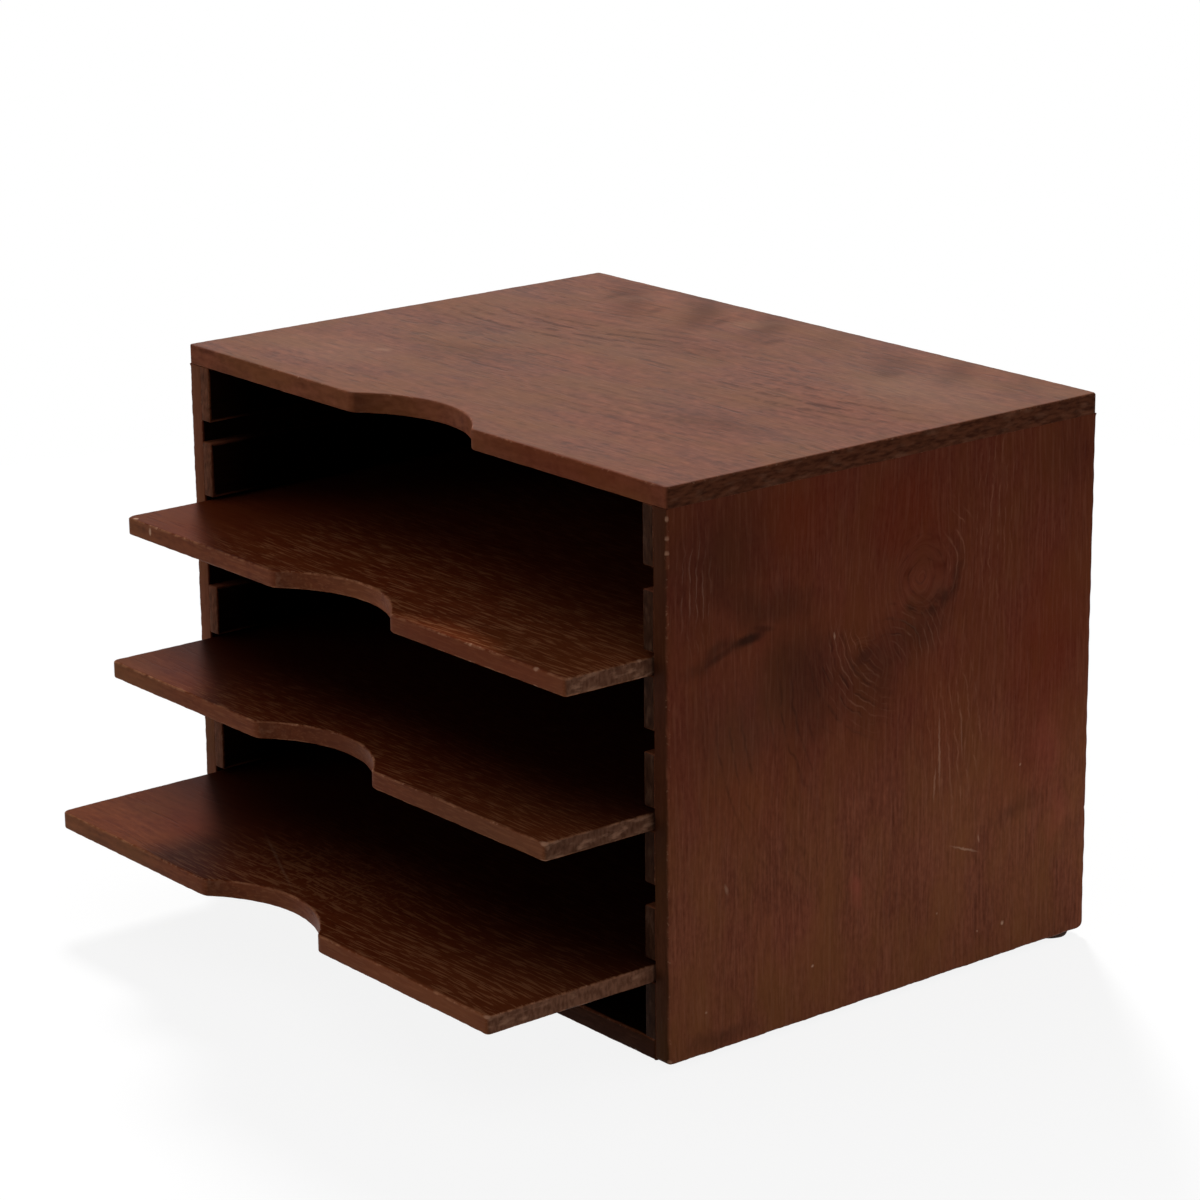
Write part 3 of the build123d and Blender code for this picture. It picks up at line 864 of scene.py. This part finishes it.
# Chips: place on the outline, width and depth
RIGHT_CHIPS = [(-121, 4, 1.8, 1.0), (121, 60, 1.0, 0.5), (-121, 236, 1.2, 0.5), (-121, 222, 0.9, 0.4),
               (-121, 228, 0.8, 0.4)]
for side, sign in SIDES.items():
    worn = sign > 0
    side_wood = stained_hardwood(
        f"oiled_{side}_side_wood", "ZYX", (17 + 60 * sign, 5, 3), RED_BROWN,
        {"tones": (0.85, 0.5, 0.05), "fibre_size": (16.0, 1.3, 1.3), "pores": 0.12, "streaks": 0.08,
         "streak_size": (22, 1.6, 1.6), "ring": 6.0, "pith": (-140.0, sign * 60.0),
         # Darker and redder towards the top: partly a deeper stain, partly painted shade for floor light that
         # weakens upwards
         "stains_and_painted_light": [(UP, 60, 150, "#4e0e06", 0.46), (UP, 170, 235, "#380e08", 0.12)],
         # The dark film on the right side's front edge is painted shade, where the trays keep the light off
         # it
         "films": [(FRONT, "#20180a", 0.58) if worn else (FRONT, "#86644a", 0.2)]},
        knots=RIGHT_KNOTS if worn else (), marks=RIGHT_MARKS if worn else LEFT_MARKS,
        lines=RIGHT_LINES if worn else (),
    )
    worn_board(
        f"{side}_side_panel", CASE, side_wood, "YZ", "+X" if worn else "-X",
        arris=1.4, under_arris=0.5, corner=(3.4, 0.4, 0.4, 2.2), soft=side_softness,
        under_soft=side_softness, inside="under", seed=21 + sign, chips=RIGHT_CHIPS if worn else (),
        rebate={"depth": top_high[0] - back_high[0] - BACK_FIT, "axis": 0, "limit": back_low[1],
                "reach": np.inf},
    )

# Bottom board and back panel
# Painted shade: the bottom board's front is painted near black where the lower tray shades it
bottom_wood = stained_hardwood("oiled_bottom_wood", "XYZ", (3, 44, 8), RED_BROWN,
                               {"pith": (20.0, -120.0), "films": [(FRONT, "#0c0402", 0.75)]})
worn_board("bottom_board", CASE, bottom_wood, "XY", "+Z", arris=0.9, under_arris=0.9,
           corner=1.2, soft=front_softness, under_soft=front_softness, inside="upper", seed=31)
back_wood = stained_hardwood("stained_veneer_plywood", "XZY", (70, 21, 2), VENEER_BROWN,
                             {"wander": 30.0, "ring": 9.0, "pith": (60.0, 210.0), "tones": (0.8, 0.4, 0.2),
                              "fibre_size": (26.0, 2.0, 2.0)})
worn_board("back_panel", CASE, back_wood, "XZ", "+Y", arris=0.35, under_arris=0.3, corner=0.8,
           inside="under", stand=PIN_STAND, seed=37)

# Runner strips
for side, sign in SIDES.items():
    # Painted shade: the runners turn near black towards the rear, inside the case
    runner_wood = stained_hardwood(f"{side}_runner_wood", "YZX", (9, 3, 15), RUNNER_BROWN[side],
                                   {"pith": (30.0, -80.0), "shade": (BACK, -118, -95, "#060201", 0.95)})
    for number in range(1, RUNNER_COUNT + 1):
        worn_board(
            f"{side}_runner_{number}", CASE, runner_wood, "YZ", "-X" if sign > 0 else "+X",
            arris=0.6, under_arris=0.2, corner=0.7, inside="upper", step=RUNNER_STEP,
            seed=100 + 10 * number + sign,
        )

# Trays: worn at the front. Painted shade makes them darker towards the rear, where they stay in the case, and
# darker and redder past the edge of the rear left lamp's shadow; painted light lifts their right ends
# WINE past the lamp's shadow edge is painted shade, and so are the two rear tints; the tan at the right ends
# is painted light. WINE on the upper faces is the trays' own tint
WINE, REAR_SHADE_BLACK, PAINTED_LIGHT_TAN, REAR_SHADE_MAROON = "#5c1500", "#140000", "#80502f", "#280300"
STRAIGHT = (0, 0, 0)
# Each tray's first stain is painted shade past the lamp's shadow edge, its second painted light on the right
# end, and its rear tint painted shade
TRAYS = {
    "upper": {
        "stains_and_painted_light": [(INWARD, -226, -198, WINE, 0.36), (RIGHT, 20, 150, PAINTED_LIGHT_TAN, 0.3)],
        "painted_rear_shade": (BACK, -140, -60, REAR_SHADE_MAROON, 0.68),
        "marks": [((105, -165, 173), (95, 3, MARK_DEPTH), STRAIGHT, BRICK, 0.48, 0.8),
                  ((-140, -165, 174), (1.2, 1.6, 2.4), STRAIGHT, PALE, 0.75, 0.6),
                  ((-154, -163.4, 177), (1.8, 1.3, 1.6), STRAIGHT, PALE, 0.65, 0.6)],
        "chips": [(141, -165, 1.6, 0.7), (98, -165, 1.0, 0.4), (160, -127, 1.4, 0.6),
                  (-159, -163, 1.2, 0.5), (-135, -165, 1.0, 0.4)],
        "palette": {},
    },
    "middle": {
        "stains_and_painted_light": [(INWARD, -226, -198, WINE, 0.42), (RIGHT, 40, 150, PAINTED_LIGHT_TAN, 0.35)],
        "painted_rear_shade": (BACK, -185, -112, REAR_SHADE_BLACK, 0.88),
        "marks": [((110, -176.5, 107), (90, 3, MARK_DEPTH), STRAIGHT, DARK, 0.2, 0.8)],
        "chips": [(159, -176, 2.4, 1.0), (40, -176.5, 1.2, 0.4)],
        "palette": {"end_dark": "#482d20", "end_light": "#654434"},
    },
    "lower": {
        "stains_and_painted_light": [(INWARD, -226, -198, WINE, 0.4), (RIGHT, 40, 150, PAINTED_LIGHT_TAN, 0.3)],
        "painted_rear_shade": (BACK, -198, -112, REAR_SHADE_BLACK, 0.86),
        "calm": (-110, -40),
        "ripple": ((-10, -158, 45), (75, 44, MARK_DEPTH), 0.7),
        "marks": [((110, -206.5, 41), (95, 3, MARK_DEPTH), STRAIGHT, CARAMEL, 0.2, 0.8),
                  ((-44, -167, 45), (52, 1.0, MARK_DEPTH), (0, 0, -25), PALE, 0.14, 0.8)],
        "chips": [(159, -206, 2.0, 0.8), (38, -203, 1.2, 0.5)],
        "palette": {"end_dark": "#573728", "end_light": "#7a5340"},
    },
}
# The trays' strong light streaks are partly painted glints off raised grain, calm at the left, where the lamp
# lights the wood
TRAY_FIGURE = {
    "wander": 18.0, "tones": (1.1, 0.5, 0.1), "fibre_size": (18.0, 2.0, 2.0), "grit_size": (4.0, 2.0, 2.0),
    "streaks": 0.46, "streak_size": (12.0, 0.9, 0.9), "end_size": (4.0, 1.6, 3.2), "calm": (-130, -70),
    "films": [(UP, "#1c0803", 0.32), (UP, WINE, 0.24), (FRONT, "#a08878", 0.07)],
}
for number, (level, own) in enumerate(TRAYS.items()):
    tray_wood = stained_hardwood(
        f"oiled_{level}_tray_wood", "XYZ", (40 * number + 11, 57 * number, 6), TRAY_BROWN | own["palette"],
        TRAY_FIGURE | own | {"pith": (25.0 - 40 * number, -70.0)}, marks=own["marks"],
    )
    worn_board(
        f"{level}_tray", f"{level}_tray_body", tray_wood, "XY", "+Z", arris=0.9, under_arris=0.9,
        corner=(2.0, 1.5, 1.5, 3.5), arcs=scooped_arcs, chips=own["chips"], lift=TRAY_LIFT, seed=51 + number,
    )

# Feet, pins and dowels
felt = pressed_felt()
for number, node in enumerate(("front_left_foot", "front_right_foot", "rear_left_foot", "rear_right_foot")):
    felt_pad(node, CASE, felt, 71 + number)
steel = drawn_steel()
beech = turned_beech()
for node, finish in (("back_panel_pins", steel), ("top_dowels", beech), ("bottom_dowels", beech)):
    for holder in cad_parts[node].material_slots:
        holder.material = finish


# Stage, light and camera

FLOOR_RADIUS = 900.0
FLOOR_POINTS = 96
FLOOR_SHADE = 0.12  # share of the shown floor that takes light and shadow
SKY_STRENGTH = 0.5  # straight overhead


def pale_floor():
    """Round pale floor: white with a soft shadow to the camera, light grey to the light that it returns."""
    turn = np.linspace(0, 2 * np.pi, FLOOR_POINTS, endpoint=False)
    rim = np.stack([np.cos(turn), np.sin(turn), np.zeros_like(turn)], 1) * FLOOR_RADIUS * MM
    mesh = bpy.data.meshes.new("pale_floor")
    mesh.from_pydata(rim.tolist(), [], [list(range(len(rim)))])
    material, tree = new_material("pale_floor")
    grey = add(tree, "BsdfDiffuse", "#bcbab8")
    white = add(tree, "BsdfDiffuse", "#fafafa")
    glow = add(tree, "Emission", "#ffffff", 1.0)
    shown = add(tree, "MixShader", FLOOR_SHADE, glow, white)
    add(tree, "OutputMaterial", add(tree, "MixShader", seen_directly(tree), grey, shown))
    floor = new_object("pale_floor", mesh)
    mesh.materials.append(material)


def seen_directly(tree):
    """One for camera rays and for mirrored and refracted ones, zero for the light that fills the scene."""
    kinds = add(tree, "LightPath", out=slice(None))
    names = {"Is Camera Ray", "Is Glossy Ray", "Is Transmission Ray"}
    camera, glossy, clear = (kind for kind in kinds if kind.name in names)
    seen = add(tree, "Math.MAXIMUM", camera, glossy)
    return add(tree, "Math.MAXIMUM", seen, clear)


def studio_world():
    """White surround: full white to the camera and reflections, otherwise a soft sky, brightest overhead."""
    world = bpy.data.worlds.new("studio")
    world.use_nodes = True
    tree = world.node_tree
    tree.nodes.clear()
    rise = add(tree, "SeparateXYZ", add(tree, "TexCoord", out="Generated"), out=2)
    sky = add(tree, "MapRange", rise, 0.0, 1.0, 0.0, SKY_STRENGTH)
    surround = add(tree, "Background", "#ffffff", add(tree, "Mix", seen_directly(tree), sky, 1.0))
    add(tree, "OutputWorld", surround)
    bpy.context.scene.world = world


def lamp(name, kind, towards, power, **settings):
    """Lamp that stands in a direction, shines back along it and shows in no reflection."""
    light = bpy.data.lights.new(name, kind)
    light.energy = power
    for key, value in settings.items():
        setattr(light, key, value)
    holder = new_object(name, light)
    holder.visible_glossy = False
    holder.rotation_euler = Vector(towards).to_track_quat("Z", "Y").to_euler()
    return holder


def photo_camera():
    """Camera that stands, aims and rolls as the photograph's did."""
    azimuth, elevation, roll = (math.radians(a) for a in (CAMERA_AZIMUTH, CAMERA_ELEVATION, CAMERA_ROLL))
    level = math.cos(elevation)
    back = Vector((math.sin(azimuth) * level, -math.cos(azimuth) * level, math.sin(elevation)))
    right = (-back).cross(Vector(UP)).normalized()
    up = right.cross(-back)
    across = right * math.cos(roll) + up * math.sin(roll)
    upright = up * math.cos(roll) - right * math.sin(roll)
    camera = bpy.data.cameras.new("photo_camera")
    camera.lens = CAMERA_LENS
    camera.sensor_width = CAMERA_SENSOR
    holder = new_object("photo_camera", camera)
    place = (Vector(CAMERA_AIM) + back * CAMERA_DISTANCE) * MM
    holder.matrix_world = Matrix.Translation(place) @ Matrix((across, upright, back)).transposed().to_4x4()
    bpy.context.scene.camera = holder


pale_floor()
studio_world()
lamp("rear_left_softbox", "SUN", towards=(-0.838, 0.546, 0.70), power=4.2, angle=math.radians(9))
lamp("front_left_fill", "SUN", towards=(-0.6, -0.8, 0.1), power=0.8, angle=math.radians(40))
# A low strip on the floor to the right lifts the lower part of the right side
strip = lamp("floor_strip", "AREA", RIGHT, power=0.4, shape="RECTANGLE", size=500 * MM, size_y=60 * MM)
strip.visible_camera = False
strip.location = Vector((520.0, 20.0, 40.0)) * MM
photo_camera()
bpy.context.scene.view_settings.view_transform = "Standard"
